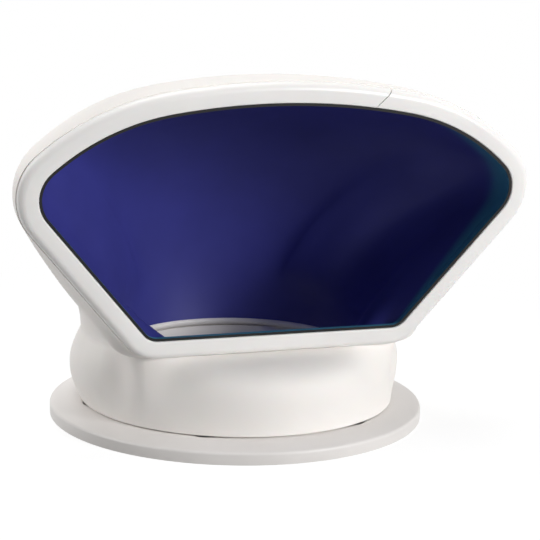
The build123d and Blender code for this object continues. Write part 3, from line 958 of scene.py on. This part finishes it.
class VENT_OT_liner(bpy.types.Operator):
    """Draws the blue funnel inside the mouth, with a fold in each wing and a lip at its edge"""

    bl_idname = "vent.liner"
    bl_label = "Liner"

    def execute(self, context):
        scene = context.scene
        mouth, liner, rim = scene.vent_mouth, scene.vent_liner, scene.vent_rim
        # Flexible PVC: matt and deep blue, with painted sheen in teal near its edge and painted shade in
        # black along its gap to the edging.
        blue = lining("flexible_pvc_blue", scene.vent_colours, grain=0.5 * MM, grain_height=0.012 * MM)
        start = Vector((0, -liner.throat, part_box("cowl_liner")[0].z))
        way = (
            start,
            start + Vector((0, liner.back, liner.rise)),
            lip_point(mouth, rim.depth + liner.run, liner.recess),
            lip_point(mouth, rim.depth, liner.recess),
        )
        root = (liner.throat, liner.throat, liner.throat * ROUND_CORNER, mouth.slant - pi / 2)
        inner, outer = [], []
        for row in range(LINER_RINGS + 1):
            share = row / LINER_RINGS
            outer.append(hood_ring(mouth, root, way, liner.recess, -liner.wall, share))
            if share <= LIP_SHARE:
                ring = hood_ring(mouth, root, way, liner.recess, 0, share)
                swell = step(share, FOLD_START, FOLD_FULL) * (1 - step(share, FOLD_FADE, FOLD_END))
                inner.append(folded(ring, liner.fold * swell))
        # Each row holds a ring, how black it is with painted shade, and how teal it is with painted sheen
        back, front = rim.depth, liner.lip_depth
        rows = [(ring, 0.0, 0.0) for ring in outer]
        rows.append((mouth_ring(mouth, back + liner.edge_gap, -liner.edge_gap), 0.0, 0.0))
        # The lip's front edge and its first ring are black with painted shade of the gap to the edging, and
        # the lip's rings are teal with painted sheen
        rows.append((mouth_ring(mouth, front, -liner.edge_gap), 1.0, 0.0))
        for share, thick in LIP_STEPS:
            ring = mouth_ring(mouth, mix(front, back, share), -liner.lip * thick)
            rows.append((ring, float(share == 0), 1.0))
        rows += [(ring, 0.0, teal) for ring, teal in zip_longest(reversed(inner), PAINTED_SHEEN_FADE, fillvalue=0.0)]
        rings, cut, band = zip(*rows)
        mesh = closed_skin("cowl_funnel", rings, blue, cut=cut, band=band)
        new_piece("cowl_funnel", mesh, "cowl", "cowl_liner")
        return {"FINISHED"}


class VENT_OT_edging(bpy.types.Operator):
    """Runs the white edging round the mouth"""

    bl_idname = "vent.edging"
    bl_label = "Edging"

    def execute(self, context):
        scene = context.scene
        mouth, rim = scene.vent_mouth, scene.vent_rim
        # Extruded PVC strip: a little smoother than the moulded skin.
        white = moulded(
            "extruded_pvc_edging",
            scene.vent_colours.rim,
            roughness=0.36,
            grain=0.6 * MM,
            grain_height=0.008 * MM,
            unevenness=0.04,
            subsurface=0.05,
        )
        outline = mouth_section(mouth, 0)
        loop = [(place, (place + 1) % len(outline)) for place in range(len(outline))]
        path = bpy.data.meshes.new("mouth_outline")
        path.from_pydata([(point.x, point.y, 0) for point in outline], loop, [])
        middle = lip_point(mouth, 0, 0) + up_at(pi / 2 + mouth.lean) * mouth.height / 2
        values = {
            "Width": rim.width,
            "Depth": rim.depth,
            "Outer round": rim.outer_round,
            "Inner round": rim.inner_round,
            "Back round": rim.back_round,
            "Joint": rim.joint,
            "Joint place": rim.joint_place,
            "Joint height": mouth.height / 2,
            "Joint turn": rim.joint_turn,
            "Lean": mouth.lean,
            "Middle front": middle.y,
            "Middle height": middle.z,
        }
        grown_piece("mouth_edging", edging_tree, values, white, "cowl", "mouth_rim", path)
        return {"FINISHED"}


class VENT_OT_deck(bpy.types.Operator):
    """Gives the deck ring, the turning rings and the seals their finishes"""

    bl_idname = "vent.deck"
    bl_label = "Deck and swivel"

    def execute(self, context):
        colours = context.scene.vent_colours
        # Glass-filled nylon from a spark-eroded mould: satin with an even fine grain.
        nylon = moulded(
            "moulded_nylon_white",
            colours.deck,
            roughness=0.45,
            grain=0.35 * MM,
            grain_height=0.015 * MM,
            unevenness=0.05,
        )
        # Turned acetal: smooth, faintly creamy.
        acetal = moulded(
            "turned_acetal",
            colours.acetal,
            roughness=0.3,
            grain=0.4 * MM,
            grain_height=0.004 * MM,
            unevenness=0.04,
        )
        # Closed-cell foam: black with small pores.
        foam = moulded(
            "closed_cell_foam",
            colours.foam,
            roughness=0.9,
            grain=0.6 * MM,
            grain_height=0.15 * MM,
            unevenness=0.05,
        )
        # Nitrile rubber cord: black, softly shiny.
        rubber = moulded(
            "nitrile_rubber",
            colours.rubber,
            roughness=0.5,
            grain=0.5 * MM,
            grain_height=0.01 * MM,
            unevenness=0.05,
        )
        # Drawn stainless spring wire: bright along its length.
        wire = metal("drawn_stainless_wire", colours.spring, roughness=0.25, grain=0.3 * MM)
        # Punched stainless sheet: a little duller.
        sheet = metal("punched_stainless", colours.sheet, roughness=0.35, grain=0.5 * MM)
        for node, body, slot, material in (
            ("deck_ring", "deck", "deck_plastic", nylon),
            ("deck_gasket", "deck", "foam_gasket", foam),
            ("screen_frame", "deck", "screen_plastic", nylon),
            ("screen_clamp", "deck", "screen_plastic", nylon),
            ("screen_circlip", "deck", "spring_wire", wire),
            ("thrust_washer", "deck", "slide_plastic", acetal),
            ("swivel_circlip", "deck", "spring_wire", wire),
            ("swivel_ring", "swivel", "slide_plastic", acetal),
            ("friction_ring", "swivel", "ring_rubber", rubber),
            ("neck_ring", "cowl", "deck_plastic", nylon),
            ("clamp_ring", "cowl", "stainless", sheet),
        ):
            smooth_copy(node, body, material)
        return {"FINISHED"}


class VENT_OT_screen(bpy.types.Operator):
    """Weaves the insect screen's wire mesh"""

    bl_idname = "vent.screen"
    bl_label = "Insect screen"

    def execute(self, context):
        sizes, colours = context.scene.vent_screen, context.scene.vent_colours
        low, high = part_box("insect_mesh")
        # Fine drawn stainless wire, woven: thin bright lines.
        wire = metal("woven_stainless_wire", colours.mesh, roughness=0.3, grain=0.2 * MM)
        values = {
            "Radius": high.x,
            "Wire": sizes.wire,
            "Pitch": sizes.pitch,
            "Height": (low.z + high.z) / 2,
        }
        grown_piece("woven_wires", woven_tree, values, wire, "deck", "insect_mesh")
        return {"FINISHED"}


class VENT_OT_screws(bpy.types.Operator):
    """Sets the screws of the clamp ring"""

    bl_idname = "vent.screws"
    bl_label = "Clamp screws"

    def execute(self, context):
        sizes, colours = context.scene.vent_screws, context.scene.vent_colours
        low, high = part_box("clamp_screws")
        # Cold-formed stainless screws: bright with a little unevenness.
        steel = metal("cold_formed_stainless", colours.screws, roughness=0.28, grain=0.4 * MM)
        values = {
            "Circle": sizes.circle,
            "Count": sizes.count,
            "Shank": sizes.shank,
            "Top": high.z,
            "Seat": low.z + sizes.head_height,
            "Head": sizes.head,
            "Head height": sizes.head_height,
            "Socket": sizes.socket,
            "Socket depth": sizes.socket_depth,
        }
        grown_piece("socket_screws", screw_tree, values, steel, "cowl", "clamp_screws")
        return {"FINISHED"}

def seen_ray(tree):
    """1 for a ray from the camera, a gloss or a clear material, and 0 for light that falls on things."""
    ray = add_node(tree, "ShaderNodeLightPath").outputs
    seen = ray["Is Camera Ray"]
    for kind in ("Is Glossy Ray", "Is Transmission Ray"):
        seen = add_node(tree, "ShaderNodeMath", {0: seen, 1: ray[kind]}, operation="MAXIMUM")
    return seen


def place_camera(scene, stage, flange):
    """Camera fitted to the photograph: turned to the object's right, a little above it."""
    turned, rise, roll = stage.camera_turn, stage.camera_rise, stage.camera_roll
    back = Vector((sin(turned) * cos(rise), -cos(turned) * cos(rise), sin(rise)))
    right = Vector((cos(turned), sin(turned), 0))
    up = back.cross(right)
    place = back * CAMERA_DISTANCE + right * CAMERA_RIGHT + up * CAMERA_UP
    rolled_right = right * cos(roll) + up * sin(roll)
    rolled_up = up * cos(roll) - right * sin(roll)
    axes = Matrix((rolled_right, rolled_up, back)).transposed().to_4x4()
    camera = bpy.data.objects.new("camera", bpy.data.cameras.new("camera"))
    camera.data.lens = stage.lens
    camera.data.clip_start = CAMERA_NEAR
    camera.data.clip_end = CAMERA_FAR
    camera.matrix_world = Matrix.Translation(place * flange) @ axes
    scene.collection.objects.link(camera)
    scene.camera = camera


def floor_material(stage, flange):
    """White to the eye, with the object's soft shadow near it."""
    material, tree = new_material("pale_floor")
    seen = seen_ray(tree)
    place = add_node(tree, "ShaderNodeTexCoord").outputs["Object"]
    catch = add_node(
        tree,
        "ShaderNodeMapRange",
        {
            "Value": add_node(tree, "ShaderNodeVectorMath", {0: place}, operation="LENGTH"),
            "From Min": flange,
            "From Max": SHADOW_REACH * flange,
            "To Min": stage.shadow,
            "To Max": 0.0,
        },
        interpolation_type="SMOOTHSTEP",
    )
    share = add_node(tree, "ShaderNodeMix", {"Factor": seen, "A": FLOOR_BOUNCE, "B": catch})
    grey = add_node(tree, "ShaderNodeCombineColor", {"Red": share, "Green": share, "Blue": share})
    dull = add_node(tree, "ShaderNodeBsdfDiffuse", {"Color": grey})
    loss = add_node(tree, "ShaderNodeMath", {0: catch, 1: SHADOW_GLOW}, operation="MULTIPLY")
    left = add_node(tree, "ShaderNodeMath", {0: 1.0, 1: loss}, operation="SUBTRACT")
    strength = add_node(tree, "ShaderNodeMath", {0: seen, 1: left}, operation="MULTIPLY")
    glow = add_node(tree, "ShaderNodeEmission", {"Color": WHITE, "Strength": strength})
    both = add_node(tree, "ShaderNodeAddShader", {0: dull, 1: glow})
    add_node(tree, "ShaderNodeOutputMaterial", {"Surface": both})
    return material


def lay_floor(scene, material, height):
    """Square floor under the object."""
    mesh = bpy.data.meshes.new("floor")
    corners = [(-FLOOR, -FLOOR), (FLOOR, -FLOOR), (FLOOR, FLOOR), (-FLOOR, FLOOR)]
    mesh.from_pydata([(*corner, height) for corner in corners], [], [(0, 1, 2, 3)])
    mesh.materials.append(material)
    floor = bpy.data.objects.new("floor", mesh)
    scene.collection.objects.link(floor)


def hang_sky(scene, strength):
    """Even light all round, from a background that is white to the eye."""
    scene.world = bpy.data.worlds.new("studio")
    scene.world.use_nodes = True
    tree = scene.world.node_tree
    tree.nodes.clear()
    shown = add_node(
        tree, "ShaderNodeMapRange", {"Value": seen_ray(tree), "To Min": strength, "To Max": 1.0}
    )
    backdrop = add_node(tree, "ShaderNodeBackground", {"Color": WHITE, "Strength": shown})
    add_node(tree, "ShaderNodeOutputWorld", {"Surface": backdrop})


def lamp(name, place, width, watts):
    """Square area lamp aimed at the middle of the object."""
    data = bpy.data.lights.new(name, "AREA")
    data.size = width
    data.energy = watts
    lamp_object = bpy.data.objects.new(name, data)
    lamp_object.location = place
    lamp_object.rotation_euler = (Vector(AIM) - Vector(place)).to_track_quat("-Z", "Y").to_euler()
    bpy.context.scene.collection.objects.link(lamp_object)


class VENT_OT_stage(bpy.types.Operator):
    """Sets the floor, the lamps, the sky and the photograph's camera"""

    bl_idname = "vent.stage"
    bl_label = "Stage"

    def execute(self, context):
        scene = context.scene
        stage = scene.vent_stage
        low, high = cad_box
        flange = (high - low).x / WIDTH_IN_FLANGES
        place_camera(scene, stage, flange)
        lay_floor(scene, floor_material(stage, flange), low.z)
        hang_sky(scene, stage.sky)
        lamp("key", KEY_PLACE, KEY_WIDTH, stage.key_power)
        lamp("left", LEFT_PLACE, SOFT_WIDTH, stage.left_power)
        lamp("right", RIGHT_PLACE, SOFT_WIDTH, stage.right_power)
        lamp("top", TOP_PLACE, SOFT_WIDTH, stage.top_power)
        scene.view_settings.view_transform = "Standard"
        return {"FINISHED"}


class VENT_PT_panel(bpy.types.Panel):
    """Steps that dress the vent"""

    bl_idname = "VENT_PT_panel"
    bl_label = "Dorade vent"
    bl_space_type = "VIEW_3D"
    bl_region_type = "UI"
    bl_category = "Vent"

    def draw(self, context):
        for operator in STEPS:
            self.layout.operator(operator.bl_idname)


GROUPS = {
    "vent_mouth": MouthSizes,
    "vent_neck": NeckSizes,
    "vent_liner": LinerSizes,
    "vent_rim": RimSizes,
    "vent_screen": ScreenSizes,
    "vent_screws": ScrewSizes,
    "vent_colours": FinishColours,
    "vent_stage": StageSettings,
}
STEPS = (
    VENT_OT_deck,
    VENT_OT_shell,
    VENT_OT_liner,
    VENT_OT_edging,
    VENT_OT_screen,
    VENT_OT_screws,
    VENT_OT_stage,
)


def register():
    """Registers the classes and hangs the settings on the scene."""
    for kind in (*GROUPS.values(), *STEPS, VENT_PT_panel):
        bpy.utils.register_class(kind)
    for name, group in GROUPS.items():
        setattr(bpy.types.Scene, name, bpy.props.PointerProperty(type=group))


def unregister():
    """Takes the settings and the classes away again."""
    for name in GROUPS:
        delattr(bpy.types.Scene, name)
    for kind in (VENT_PT_panel, *reversed(STEPS), *GROUPS.values()):
        bpy.utils.unregister_class(kind)


def main():
    """Registers the add-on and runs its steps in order."""
    register()
    bpy.ops.vent.deck()
    bpy.ops.vent.shell()
    bpy.ops.vent.liner()
    bpy.ops.vent.edging()
    bpy.ops.vent.screen()
    bpy.ops.vent.screws()
    bpy.ops.vent.stage()


if __name__ == "__main__":
    main()
